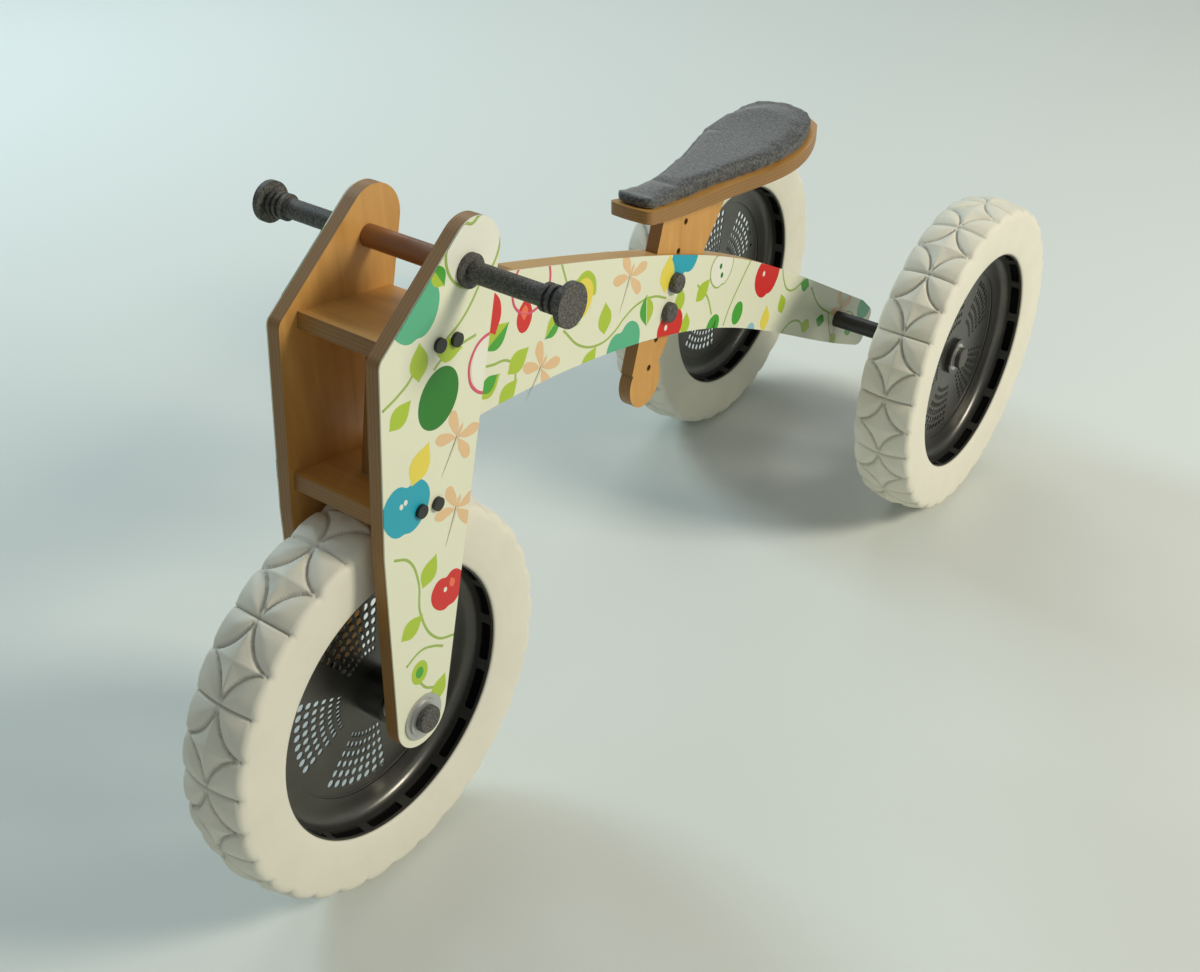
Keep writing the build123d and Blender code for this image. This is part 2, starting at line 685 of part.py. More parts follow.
wheels = (("front", 0, -wheel_base / 2), ("rear_left", track / 2, wheel_base / 2),
          ("rear_right", -track / 2, wheel_base / 2))
for name, x0, y0 in wheels:
    for piece, source in (("tyre", tyre), ("rim", rim), ("rim_band", rim_band)):
        with BuildPart() as placed:
            with Locations((x0, y0, wheel_r)):
                add(source.part)
        placed.part.label = f"{name}_{piece}"
        export_step(placed.part, f"parts/{name}_{piece}.step")

# each hub is bored from both ends for its bearings and clears the axle between them
hubs = (("front", 0, -wheel_base / 2, -front_hub_half, front_hub_half),
        ("rear_left", track / 2, wheel_base / 2, -rear_hub_inner, rear_hub_outer),
        ("rear_right", -track / 2, wheel_base / 2, -rear_hub_outer, rear_hub_inner))
for name, x0, y0, low, high in hubs:
    hub_plane = Plane(origin=(x0, y0, wheel_r), x_dir=(0, 1, 0), z_dir=(1, 0, 0))
    with BuildPart() as hub:
        with BuildSketch(hub_plane.offset(low)):
            Circle(hub_radius)
            Circle(axle_diameter / 2 + 2, mode=Mode.SUBTRACT)
        extrude(amount=high - low)
        for start in (low, high - bearing_width):
            with BuildSketch(hub_plane.offset(start)):
                Circle(bearing_od / 2)
            extrude(amount=bearing_width, mode=Mode.SUBTRACT)
    hub.part.label = f"{name}_hub"
    export_step(hub.part, f"parts/{name}_hub.step")
    with BuildPart() as bearings:
        for start in (low, high - bearing_width):
            with BuildSketch(hub_plane.offset(start)):
                Circle(bearing_od / 2)
                Circle(axle_diameter / 2 + running_clearance, mode=Mode.SUBTRACT)
            extrude(amount=bearing_width)
    bearings.part.label = f"{name}_bearings"
    export_step(bearings.part, f"parts/{name}_bearings.step")

# ---- seat: post, board, pad and the screws under the pad ---------------------------------------
screw_marks = [seat_pt(y, seat_rise) for y in (post_top_front + 22, post_top_rear - 22)]
with BuildPart() as seat_post:
    with BuildSketch(side.offset(-post_thickness / 2)):
        with BuildLine():
            Polyline(seat_pt(-48.2, -51.7), seat_pt(post_top_front, seat_rise),
                     seat_pt(post_top_front, seat_rise + 30), seat_pt(post_top_rear, seat_rise + 30),
                     seat_pt(post_top_rear, seat_rise), seat_pt(-16.4, -62), close=True)
        make_face()
        with Locations(post_pt(-post_foot)):
            Circle(post_foot_radius)
        with BuildLine():
            Spline(*board_under)
            Polyline(board_under[-1], (board_under[-1][0], board_under[-1][1] + 60),
                     (board_under[0][0], board_under[0][1] + 60), board_under[0])
        make_face(mode=Mode.SUBTRACT)
        with Locations(post_pt(-2.5 * hole_pitch), post_pt(1.5 * hole_pitch), post_pt(2.5 * hole_pitch)):
            Circle(hole_diameter / 2, mode=Mode.SUBTRACT)
        with Locations(post_pt(-hole_pitch / 2)):
            SlotCenterToCenter(2 * hole_pitch, hole_diameter, rotation=post_angle, mode=Mode.SUBTRACT)
    extrude(amount=post_thickness)
    with BuildSketch(Plane.XY.offset(clamp_mid[1] + wheel_r + seat_rise - screw_length + 12)):
        with Locations([(0, y - wheel_base / 2) for y, z in screw_marks]):
            Circle(screw_diameter / 2)
    extrude(amount=screw_length, mode=Mode.SUBTRACT)
seat_post.part.label = "seat_post"
export_step(seat_post.part, "parts/seat_post.step")

with BuildPart() as seat_board:
    with BuildSketch(side.offset(-seat_width)):
        with BuildLine():
            Spline(*board_under)
            Line(board_under[-1], board_top[-1])
            Spline(*board_top)
            Line(board_top[0], board_under[0])
        make_face()
    extrude(amount=2 * seat_width)
    with BuildSketch(Plane.XY):
        add(board_outline.sketch_local)
    extrude(amount=4 * wheel_r, mode=Mode.INTERSECT)
    with BuildSketch(Plane.XY):
        with Locations([(0, y - wheel_base / 2) for y, z in screw_marks]):
            Circle(screw_diameter / 2)
    extrude(amount=4 * wheel_r, mode=Mode.SUBTRACT)
seat_board.part.label = "seat_board"
export_step(seat_board.part, "parts/seat_board.step")

with BuildPart() as seat_pad:
    with BuildSketch(side.offset(-seat_width)):
        with BuildLine():
            Spline(*board_top)
            Line(board_top[-1], pad_top[-1])
            Spline(*pad_top)
            Line(pad_top[0], board_top[0])
        make_face()
    extrude(amount=2 * seat_width)
    with BuildSketch(Plane.XY):
        add(pad_outline.sketch_local)
    extrude(amount=4 * wheel_r, mode=Mode.INTERSECT)
seat_pad.part.label = "seat_pad"
export_step(seat_pad.part, "parts/seat_pad.step")

with BuildPart() as seat_screws:
    with BuildSketch(Plane.XY.offset(clamp_mid[1] + wheel_r + seat_rise - screw_length + 12)):
        with Locations([(0, y - wheel_base / 2) for y, z in screw_marks]):
            Circle(screw_diameter / 2)
    extrude(amount=screw_length - 3)
seat_screws.part.label = "seat_screws"
export_step(seat_screws.part, "parts/seat_screws.step")
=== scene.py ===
import bpy
import bmesh
import math
from mathutils import Euler, Matrix, Vector


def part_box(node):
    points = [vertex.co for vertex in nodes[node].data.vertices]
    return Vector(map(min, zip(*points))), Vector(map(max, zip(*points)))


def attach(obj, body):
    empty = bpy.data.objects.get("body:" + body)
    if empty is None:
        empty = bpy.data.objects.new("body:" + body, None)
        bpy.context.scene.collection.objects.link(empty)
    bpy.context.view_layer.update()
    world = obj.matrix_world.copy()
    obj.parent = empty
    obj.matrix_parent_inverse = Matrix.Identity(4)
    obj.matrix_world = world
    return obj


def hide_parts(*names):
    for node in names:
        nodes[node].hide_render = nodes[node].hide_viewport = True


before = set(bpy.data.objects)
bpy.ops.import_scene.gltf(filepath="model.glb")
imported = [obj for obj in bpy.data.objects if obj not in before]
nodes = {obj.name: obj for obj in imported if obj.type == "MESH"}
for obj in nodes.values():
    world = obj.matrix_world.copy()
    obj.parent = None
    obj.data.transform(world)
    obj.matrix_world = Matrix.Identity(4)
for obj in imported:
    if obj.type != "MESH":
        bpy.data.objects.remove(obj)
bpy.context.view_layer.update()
bpy.ops.object.select_all(action="DESELECT")
scene = bpy.context.scene
scene.view_settings.view_transform = "Standard"

# ---- studio ----
# A pale sweep with a warm soft light from the rider's left, a weaker cool one from the right and
# one behind, so the printed left side is bright and the fronts of the tyres fall into shade.
bpy.ops.mesh.primitive_plane_add(size=14, location=(0, 0, 0))
floor = bpy.context.object
floor.name = "studio_floor"
floor_paper = bpy.data.materials.new("studio_paper")
floor_paper.use_nodes = True
paper = floor_paper.node_tree.nodes["Principled BSDF"]
paper.inputs["Base Color"].default_value = (0.70, 0.73, 0.69, 1)
paper.inputs["Roughness"].default_value = 0.9
floor.data.materials.append(floor_paper)

world = bpy.data.worlds.new("studio_air")
scene.world = world
world.use_nodes = True
world.node_tree.nodes["Background"].inputs["Color"].default_value = (0.74, 0.80, 0.80, 1)
world.node_tree.nodes["Background"].inputs["Strength"].default_value = 0.38

for name, place, size, power, tint in (
        ("warm_softbox", (2.4, 0.9, 1.7), 0.7, 56, (1.0, 0.93, 0.80)),
        ("cool_softbox", (-2.4, 0.3, 1.6), 0.8, 30, (0.70, 0.90, 1.0)),
        ("back_softbox", (-1.6, 2.2, 2.6), 1.8, 20, (0.94, 1.0, 0.99))):
    bpy.ops.object.light_add(type="AREA", location=place)
    lamp = bpy.context.object
    lamp.name = name
    lamp.data.size = size
    lamp.data.energy = power
    lamp.data.color = tint
    lamp.rotation_euler = (Vector((0, 0, 0.2)) - lamp.location).to_track_quat("-Z", "Y").to_euler()

camera_data = bpy.data.cameras.new("studio_camera")
camera = bpy.data.objects.new("studio_camera", camera_data)
scene.collection.objects.link(camera)
camera.location = (0.5695, -0.8344, 0.8563)
camera.rotation_euler = Euler([math.radians(a) for a in (54.473, 0.394, 36.0)], "XYZ")
camera_data.lens = 43.36
camera_data.sensor_width = 36
scene.camera = camera


# ---- plywood: fork plates, shelves, beam, head block, seat post and board ----
# Ply with an orange lacquered face veneer. The faces show long grain, and the sawn edges are a
# darker brown with the plies just showing across the thickness of each sheet.
def group_socket(group, name, kind, out=False, value=None):
    socket = group.interface.new_socket(name, in_out="OUTPUT" if out else "INPUT", socket_type=kind)
    if value is not None:
        socket.default_value = value
    return socket


def node(tree, kind, **settings):
    made = tree.nodes.new(kind)
    for key, value in settings.items():
        setattr(made, key, value)
    return made


ply_group = bpy.data.node_groups.new("lacquered_ply", "ShaderNodeTree")
group_socket(ply_group, "Sheet Axis", "NodeSocketVector", value=(1, 0, 0))
group_socket(ply_group, "Grain Scale", "NodeSocketVector", value=(60, 60, 8))
group_socket(ply_group, "Face", "NodeSocketColor", value=(0.66, 0.36, 0.10, 1))
group_socket(ply_group, "Face Dark", "NodeSocketColor", value=(0.48, 0.235, 0.052, 1))
group_socket(ply_group, "Edge", "NodeSocketColor", value=(0.33, 0.17, 0.045, 1))
group_socket(ply_group, "Edge Dark", "NodeSocketColor", value=(0.17, 0.082, 0.022, 1))
group_socket(ply_group, "Color", "NodeSocketColor", out=True)
group_socket(ply_group, "Roughness", "NodeSocketFloat", out=True)
group_socket(ply_group, "Height", "NodeSocketFloat", out=True)
g_in = node(ply_group, "NodeGroupInput")
g_out = node(ply_group, "NodeGroupOutput")
place = node(ply_group, "ShaderNodeTexCoord")
stretch = node(ply_group, "ShaderNodeMapping")
grain = node(ply_group, "ShaderNodeTexNoise")
grain.inputs["Scale"].default_value = 1.0
grain.inputs["Detail"].default_value = 8
grain.inputs["Roughness"].default_value = 0.62
grain.inputs["Distortion"].default_value = 0.6
cloud = node(ply_group, "ShaderNodeTexNoise")
cloud.inputs["Scale"].default_value = 9
cloud.inputs["Detail"].default_value = 3
grain_ramp = node(ply_group, "ShaderNodeValToRGB")
grain_ramp.color_ramp.elements[0].position = 0.36
grain_ramp.color_ramp.elements[1].position = 0.66
grain_cloud = node(ply_group, "ShaderNodeMix", data_type="FLOAT")
grain_cloud.inputs["Factor"].default_value = 0.35
face_mix = node(ply_group, "ShaderNodeMix", data_type="RGBA")
depth = node(ply_group, "ShaderNodeVectorMath", operation="DOT_PRODUCT")
plies = node(ply_group, "ShaderNodeMath", operation="MULTIPLY")
plies.inputs[1].default_value = 2 * math.pi / 0.0028
plies_wave = node(ply_group, "ShaderNodeMath", operation="SINE")
plies_ramp = node(ply_group, "ShaderNodeMapRange")
plies_ramp.inputs["From Min"].default_value = -0.4
plies_ramp.inputs["From Max"].default_value = 0.5
edge_noise = node(ply_group, "ShaderNodeMath", operation="MULTIPLY_ADD")
edge_noise.inputs[1].default_value = 0.30
edge_mix = node(ply_group, "ShaderNodeMix", data_type="RGBA")
geometry = node(ply_group, "ShaderNodeNewGeometry")
facing = node(ply_group, "ShaderNodeVectorMath", operation="DOT_PRODUCT")
facing_abs = node(ply_group, "ShaderNodeMath", operation="ABSOLUTE")
facing_cut = node(ply_group, "ShaderNodeMath", operation="GREATER_THAN")
facing_cut.inputs[1].default_value = 0.72
both = node(ply_group, "ShaderNodeMix", data_type="RGBA")
rough = node(ply_group, "ShaderNodeMapRange")
rough.inputs["To Min"].default_value = 0.34
rough.inputs["To Max"].default_value = 0.52
ln = ply_group.links.new
ln(place.outputs["Object"], stretch.inputs["Vector"])
ln(g_in.outputs["Grain Scale"], stretch.inputs["Scale"])
ln(stretch.outputs["Vector"], grain.inputs["Vector"])
ln(place.outputs["Object"], cloud.inputs["Vector"])
ln(grain.outputs["Fac"], grain_cloud.inputs["A"])
ln(cloud.outputs["Fac"], grain_cloud.inputs["B"])
ln(grain_cloud.outputs["Result"], grain_ramp.inputs["Fac"])
ln(grain_ramp.outputs["Color"], face_mix.inputs["Factor"])
ln(g_in.outputs["Face Dark"], face_mix.inputs[6])
ln(g_in.outputs["Face"], face_mix.inputs[7])
ln(place.outputs["Object"], depth.inputs[0])
ln(g_in.outputs["Sheet Axis"], depth.inputs[1])
ln(depth.outputs["Value"], plies.inputs[0])
ln(plies.outputs["Value"], plies_wave.inputs[0])
ln(plies_wave.outputs["Value"], plies_ramp.inputs["Value"])
ln(plies_ramp.outputs["Result"], edge_noise.inputs[0])
ln(cloud.outputs["Fac"], edge_noise.inputs[2])
ln(edge_noise.outputs["Value"], edge_mix.inputs["Factor"])
ln(g_in.outputs["Edge Dark"], edge_mix.inputs[6])
ln(g_in.outputs["Edge"], edge_mix.inputs[7])
ln(geometry.outputs["True Normal"], facing.inputs[0])
ln(g_in.outputs["Sheet Axis"], facing.inputs[1])
ln(facing.outputs["Value"], facing_abs.inputs[0])
ln(facing_abs.outputs["Value"], facing_cut.inputs[0])
ln(facing_cut.outputs["Value"], both.inputs["Factor"])
ln(edge_mix.outputs[2], both.inputs[6])
ln(face_mix.outputs[2], both.inputs[7])
ln(both.outputs[2], g_out.inputs["Color"])
ln(grain.outputs["Fac"], rough.inputs["Value"])
ln(rough.outputs["Result"], g_out.inputs["Roughness"])
ln(grain.outputs["Fac"], g_out.inputs["Height"])


def finish_with(group, name, coat=0.0, bump=0.1, bump_depth=0.0004, **values):
    """A Principled material fed by a finish group's colour, roughness and height."""
    material = bpy.data.materials.new(name)
    material.use_nodes = True
    tree = material.node_tree
    shader = tree.nodes["Principled BSDF"]
    finish = node(tree, "ShaderNodeGroup", node_tree=group)
    for key, value in values.items():
        finish.inputs[key.replace("_", " ")].default_value = value
    tree.links.new(finish.outputs["Color"], shader.inputs["Base Color"])
    tree.links.new(finish.outputs["Roughness"], shader.inputs["Roughness"])
    relief = node(tree, "ShaderNodeBump")
    relief.inputs["Strength"].default_value = bump
    relief.inputs["Distance"].default_value = bump_depth
    tree.links.new(finish.outputs["Height"], relief.inputs["Height"])
    tree.links.new(relief.outputs["Normal"], shader.inputs["Normal"])
    shader.inputs["Coat Weight"].default_value = coat
    shader.inputs["Coat Roughness"].default_value = 0.25
    return material


rake = math.radians(11.3)
shelf_up = (0, math.sin(rake), math.cos(rake))
ply_sheet = finish_with(ply_group, "ply_upright", coat=0.04)
ply_shelf = finish_with(ply_group, "ply_shelf", coat=0.04, Sheet_Axis=shelf_up, Grain_Scale=(8, 70, 70))
ply_board = finish_with(ply_group, "ply_board", coat=0.04, Sheet_Axis=(0, 0, 1), Grain_Scale=(70, 9, 70))
# The beam's copy of the ply has lighter edges than the other parts. This is painted light for its top edges,
# which face up into the light, while the edges seen on the other parts face away from it.
ply_lit_edges = finish_with(ply_group, "ply_beam", coat=0.04, Grain_Scale=(60, 9, 60),
                       Edge=(0.56, 0.34, 0.12, 1), Edge_Dark=(0.40, 0.22, 0.07, 1))


def paint(material, *names):
    for each in names:
        nodes[each].data.materials.clear()
        nodes[each].data.materials.append(material)


paint(ply_sheet, "fork_plate_left", "fork_plate_right", "seat_post", "head_block")
paint(ply_lit_edges, "beam_cheek_left", "beam_cheek_right", "beam_core_front", "beam_core_rear")
paint(ply_shelf, "fork_shelf_upper", "fork_shelf_lower")
paint(ply_board, "seat_board")

# ---- printed laminate ----
# Both sides of the fork and of the beam are faced with a smooth cream melamine sheet that has
# fruit, leaves and vines printed on it under a satin overlay.
laminate_group = bpy.data.node_groups.new("printed_laminate", "ShaderNodeTree")
group_socket(laminate_group, "Ink", "NodeSocketColor", value=(0.7, 0.7, 0.5, 1))
group_socket(laminate_group, "Ink Shift", "NodeSocketColor", value=(0.66, 0.67, 0.46, 1))
group_socket(laminate_group, "Color", "NodeSocketColor", out=True)
group_socket(laminate_group, "Roughness", "NodeSocketFloat", out=True)
group_socket(laminate_group, "Height", "NodeSocketFloat", out=True)
g_in = node(laminate_group, "NodeGroupInput")
g_out = node(laminate_group, "NodeGroupOutput")
place = node(laminate_group, "ShaderNodeTexCoord")
wash = node(laminate_group, "ShaderNodeTexNoise")
wash.inputs["Scale"].default_value = 26
wash.inputs["Detail"].default_value = 4
stipple = node(laminate_group, "ShaderNodeTexNoise")
stipple.inputs["Scale"].default_value = 900
tone = node(laminate_group, "ShaderNodeMix", data_type="RGBA")
rough = node(laminate_group, "ShaderNodeMapRange")
rough.inputs["To Min"].default_value = 0.30
rough.inputs["To Max"].default_value = 0.46
ln = laminate_group.links.new
ln(place.outputs["Object"], wash.inputs["Vector"])
ln(place.outputs["Object"], stipple.inputs["Vector"])
ln(wash.outputs["Fac"], tone.inputs["Factor"])
ln(g_in.outputs["Ink"], tone.inputs[6])
ln(g_in.outputs["Ink Shift"], tone.inputs[7])
ln(tone.outputs[2], g_out.inputs["Color"])
ln(wash.outputs["Fac"], rough.inputs["Value"])
ln(rough.outputs["Result"], g_out.inputs["Roughness"])
ln(stipple.outputs["Fac"], g_out.inputs["Height"])


def ink(name, red, green, blue, shift=0.9):
    return finish_with(laminate_group, "print_" + name, coat=0.06, bump=0.06, bump_depth=0.0002,
                       Ink=(red, green, blue, 1), Ink_Shift=(red * shift, green * shift, blue * shift, 1))


cream = ink("cream", 0.78, 0.79, 0.60, 0.95)
paint(cream, "beam_print_left", "beam_print_right", "fork_print_left", "fork_print_right")
inks = {"lime": ink("lime", 0.42, 0.58, 0.03), "green": ink("green", 0.06, 0.38, 0.03),
        "olive": ink("olive", 0.34, 0.48, 0.09), "teal": ink("teal", 0.09, 0.46, 0.25),
        "turquoise": ink("turquoise", 0.01, 0.38, 0.50), "red": ink("red", 0.66, 0.015, 0.01),
        "orange": ink("orange", 0.85, 0.16, 0.07), "pink": ink("pink", 0.72, 0.09, 0.17),
        "yellow": ink("yellow", 0.82, 0.68, 0.08), "tan": ink("tan", 0.80, 0.54, 0.29),
        "white": ink("white", 0.84, 0.84, 0.72), "forest": ink("forest", 0.012, 0.20, 0.01),
        "sky": ink("sky", 0.30, 0.55, 0.62)}

# shapes of the print as closed outlines one unit long; "v" marks a point, "a" a round stretch
LEAF = ((0, -0.5, "v"), (0.31, -0.08, "a"), (0, 0.5, "v"), (-0.31, -0.08, "a"))
HALF_LEAF = ((0, -0.5, "v"), (0.31, -0.08, "a"), (0, 0.5, "v"), (0, 0, "v"))
DROP = ((0, -0.5, "v"), (0.3, -0.1, "a"), (0.24, 0.35, "a"), (0, 0.5, "a"), (-0.24, 0.35, "a"),
        (-0.3, -0.1, "a"))
APPLE = []
for k in range(24):
    side = 0.5 * math.sin(2 * math.pi * k / 24)
    rise = 0.46 * math.cos(2 * math.pi * k / 24)
    dent = (0.11 if rise > 0 else -0.05) * math.exp(-(side / 0.13) ** 2)
    APPLE.append((side * (1 + 0.25 * rise), rise - dent, "a"))
EGG = ((0, 0.5, "a"), (0.42, 0, "a"), (0, -0.5, "a"), (-0.42, 0, "a"))
WING = ((0, 0.02, "v"), (0.13, 0.30, "a"), (0.06, 0.62, "a"), (-0.09, 0.50, "a"), (-0.08, 0.26, "a"))
BODY = ((0, -0.8, "v"), (0.045, 0.2, "v"), (0, 0.3, "v"), (-0.045, 0.2, "v"))
HANDLES = {"v": "VECTOR", "a": "AUTO"}

# half thickness of a filled layer of ink and of a flattened stroke, m
LAYER_HALF, STROKE_HALF = 0.00035, 0.00012


def print_layer(name, body, sheet, face_x, lift, colour, shapes, strokes=(), stroke=0.0011):
    """Lays one colour of the print on a sheet: filled shapes (outline, y, z, length, turn) in
    mm and degrees, and round-ended strokes, both trimmed to the sheet's outline."""
    parts = []
    if shapes:
        flat = bpy.data.curves.new(name, "CURVE")
        flat.dimensions = "2D"
        flat.fill_mode = "BOTH"
        flat.resolution_u = 10
        flat.extrude = LAYER_HALF
        for outline, y, z, length, turn in shapes:
            spline = flat.splines.new("BEZIER")
            spline.bezier_points.add(len(outline) - 1)
            c, s = math.cos(math.radians(turn)), math.sin(math.radians(turn))
            for point, (px, py, kind) in zip(spline.bezier_points, outline):
                point.co = ((y + length * (px * c - py * s)) / 1000,
                            (z + length * (px * s + py * c)) / 1000, 0)
                point.handle_left_type = point.handle_right_type = HANDLES[kind]
            spline.use_cyclic_u = True
        parts.append(bpy.data.objects.new(name, flat))
    if strokes:
        line = bpy.data.curves.new(name + "_lines", "CURVE")
        line.dimensions = "3D"
        line.bevel_depth = stroke
        line.bevel_resolution = 2
        line.resolution_u = 10
        line.use_fill_caps = True
        for points, closed in strokes:
            spline = line.splines.new("BEZIER")
            spline.bezier_points.add(len(points) - 1)
            for point, (py, pz) in zip(spline.bezier_points, points):
                point.co = (py / 1000, pz / 1000, 0)
                point.handle_left_type = point.handle_right_type = "AUTO"
            spline.use_cyclic_u = closed
        parts.append(bpy.data.objects.new(name + "_lines", line))
    bpy.ops.object.select_all(action="DESELECT")
    for part in parts:
        scene.collection.objects.link(part)
        part.select_set(True)
    bpy.context.view_layer.objects.active = parts[0]
    bpy.ops.object.convert(target="MESH")
    for part in parts:
        if "_lines" in part.name:
            part.data.transform(Matrix.Translation((0, 0, LAYER_HALF - STROKE_HALF))
                                @ Matrix.Diagonal((1, 1, STROKE_HALF / stroke, 1)))
    if len(parts) > 1:
        bpy.ops.object.join()
    piece = bpy.context.view_layer.objects.active
    sheet_low, sheet_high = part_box(sheet)
    # local x runs rearwards, local y up, and the outer side of the layer stands just proud
    toward = 1 if face_x > 0 else -1
    piece.data.transform(Matrix(((0, 0, toward, face_x + toward * (lift - LAYER_HALF)),
                                 (1, 0, 0, 0), (0, 1, 0, 0), (0, 0, 0, 1))))
    bpy.ops.object.mode_set(mode="EDIT")
    bpy.ops.mesh.select_all(action="SELECT")
    bpy.ops.mesh.remove_doubles(threshold=0.000002)
    bpy.ops.mesh.normals_make_consistent(inside=False)
    bpy.ops.object.mode_set(mode="OBJECT")
    knife = nodes[sheet].copy()
    knife.data = nodes[sheet].data.copy()
    scene.collection.objects.link(knife)
    middle = (sheet_low.x + sheet_high.x) / 2
    knife.data.transform(Matrix.Translation((middle, 0, 0)) @ Matrix.Diagonal((6, 1, 1, 1))
                         @ Matrix.Translation((-middle, 0, 0)))
    trim = piece.modifiers.new("trim", "BOOLEAN")
    trim.operation = "INTERSECT"
    trim.solver = "EXACT"
    trim.object = knife
    bpy.context.view_layer.objects.active = piece
    bpy.ops.object.modifier_apply(modifier="trim")
    bpy.data.objects.remove(knife)
    piece.data.materials.clear()
    piece.data.materials.append(colour)
    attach(piece, body)
    return piece


def at(y, z):
    """Row place of a point given from the front axle, both in mm."""
    return (y - 329.8, z + 152.5)


def shapes_at(rows):
    return [(outline, *at(y, z), length, turn) for outline, y, z, length, turn in rows]


def strokes_at(rows, closed=False):
    return [([at(y, z) for y, z in points], closed) for points in rows]


def ring(y, z, radius):
    return [(y + radius * math.cos(math.pi * k / 4), z + radius * math.sin(math.pi * k / 4))
            for k in range(8)]


def apple_line(y, z, length, turn=0):
    c, s = math.cos(math.radians(turn)), math.sin(math.radians(turn))
    return [(y + length * (px * c - py * s), z + length * (px * s + py * c)) for px, py, kind in APPLE]


def dragonfly(y, z, length, turn):
    wings = [(WING, y, z, length, turn + lean) for lean in (52, -52, 112, -112)]
    return wings + [(BODY, y, z, length, turn)]


def print_faces(part, body, under, over, vines, hoop, hoop_stroke, outline, outline_stroke):
    """Prints both sides of a part: two sets of inks, its vines, a pink hoop and an outlined
    apple. Each colour stands a hundredth of a millimetre higher than the last, so that no two
    lie in one plane where they overlap."""
    for sign, side in ((1, "left"), (-1, "right")):
        sheet = f"{part}_print_{side}"
        low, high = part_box(sheet)
        face_x = high.x if sign > 0 else low.x
        for base, layers in ((0.00005, under), (0.00013, over)):
            for step, (colour, rows) in enumerate(layers.items()):
                print_layer(f"{part}_{colour}_{side}", body, sheet, face_x, base + 0.00001 * step,
                            inks[colour], shapes_at(rows))
        for label, colour, lift, rows, closed, stroke in (
                ("vine", "olive", 0.00004, vines, False, 0.0014),
                ("rings", "pink", 0.00019, [hoop], True, hoop_stroke),
                ("white_edge", "olive", 0.00020, [outline], True, outline_stroke)):
            print_layer(f"{part}_{label}_{side}", body, sheet, face_x, lift, inks[colour], (),
                        strokes_at(rows, closed), stroke)


beam_shapes = {
    "lime": [(LEAF, 143, 219, 29, -68), (LEAF, 164, 190, 27, -66), (APPLE, 233, 207, 47, 0),
             (LEAF, 151, 170, 26, -60), (HALF_LEAF, 323, 159, 28, 0), (LEAF, 267, 177, 27, -5),
             (LEAF, 246, 150, 26, -50), (HALF_LEAF, 205, 200, 24, 120), (LEAF, 405, 141, 25, -60),
             (LEAF, 370, 147, 24, -10), (LEAF, 379, 121, 22, -10), (LEAF, 543, 68, 22, 10),
             (LEAF, 655, -22, 22, 30), (LEAF, 593, 22, 22, 60), (LEAF, 132, 185, 26, -70)],
    "green": [(HALF_LEAF, 143, 219, 29, -68), (HALF_LEAF, 322, 159, 28, 180), (HALF_LEAF, 204, 199, 24, -60),
              (EGG, 422, 99, 23, -50), (EGG, 463, 94, 21, -20), (LEAF, 586, 69, 20, 60),
              (LEAF, 624, 14, 20, 60), (LEAF, 690, -27, 20, 80), (LEAF, 132, 187, 20, -70)],
    "turquoise": [(APPLE, 376, 184, 40, 180)],
    "teal": [(APPLE, 291, 140, 45, 10), (APPLE, 724, -14, 34, 0)],
    "red": [(DROP, 173, 222, 26, 170), (DROP, 138, 238, 34, 10), (APPLE, 356, 127, 37, 0),
            (APPLE, 513, 109, 44, 0)],
    "yellow": [(LEAF, 351, 179, 32, -15), (LEAF, 513, 66, 26, -10), (LEAF, 408, 84, 20, -60)],
    "tan": [*dragonfly(300, 198, 36, -30), *dragonfly(189, 172, 36, -45), *dragonfly(668, 8, 36, -30)],
}
beam_over = {
    "yellow": [(APPLE, 234, 206, 37, 0)],
    "white": [(APPLE, 434, 149, 36, 0), (EGG, 350, 131, 5, 0), (EGG, 506, 114, 5, 0)],
    "forest": [(HALF_LEAF, 422, 99, 16, -50), (EGG, 432, 152, 5, 0), (EGG, 434, 143, 5, 0)],
    "sky": [(EGG, 487, 64, 18, 0)], "orange": [(LEAF, 173, 224, 12, 170)],
}
beam_lines = [[(118, 206), (136, 200), (152, 196), (160, 186), (157, 168)], [(222, 224), (214, 250)],
              [(216, 190), (236, 168), (261, 158), (279, 160), (292, 166), (309, 170), (332, 167),
               (350, 158)],
              [(490, 144), (474, 130), (460, 117), (447, 103), (440, 92)],
              [(396, 150), (412, 132), (420, 112)],
              [(540, 118), (544, 92), (556, 76), (578, 74), (590, 80)],
              [(530, 20), (552, 38), (575, 36), (590, 22)],
              [(600, 60), (616, 36), (640, 16), (662, 4), (690, -6), (704, -20)],
              [(640, 16), (646, -6), (656, -30)]]
print_faces("beam", "frame", beam_shapes, beam_over, beam_lines, ring(182, 242, 21), 0.0011,
            apple_line(434, 149, 36), 0.0008)

fork_shapes = {
    "teal": [(APPLE, 28, 301, 44, 0)], "turquoise": [(APPLE, 5, 173, 43, -12)],
    "lime": [(LEAF, 28, 267, 26, -8), (LEAF, 55, 263, 25, -107), (LEAF, 8, 240, 24, -60),
             (LEAF, 50, 315, 20, 30), (LEAF, 20, 114, 25, -40), (LEAF, -1, 80, 24, -70),
             (EGG, 1.5, 39, 19, 0), (LEAF, 18, 12, 24, -40)],
    "forest": [(EGG, 42, 235, 42, -36)], "red": [(APPLE, 35, 88, 32, 0)],
    "yellow": [(LEAF, 21, 198, 30, -40)], "white": [(APPLE, 83, 318, 48, 0), (EGG, 91, 237, 42, 0)],
    "tan": [*dragonfly(56, 199, 34, -40), *dragonfly(50, 147, 34, -30)],
}
fork_over = {
    "orange": [(LEAF, 40, 92, 9, 10)],
    "white": [(EGG, 1, 177, 4, 0), (EGG, 5, 178, 4, 0), (EGG, 33, 90, 4, 0)],
    "green": [(HALF_LEAF, 50, 315, 20, 30), (EGG, 1.5, 39, 9, 0)],
}
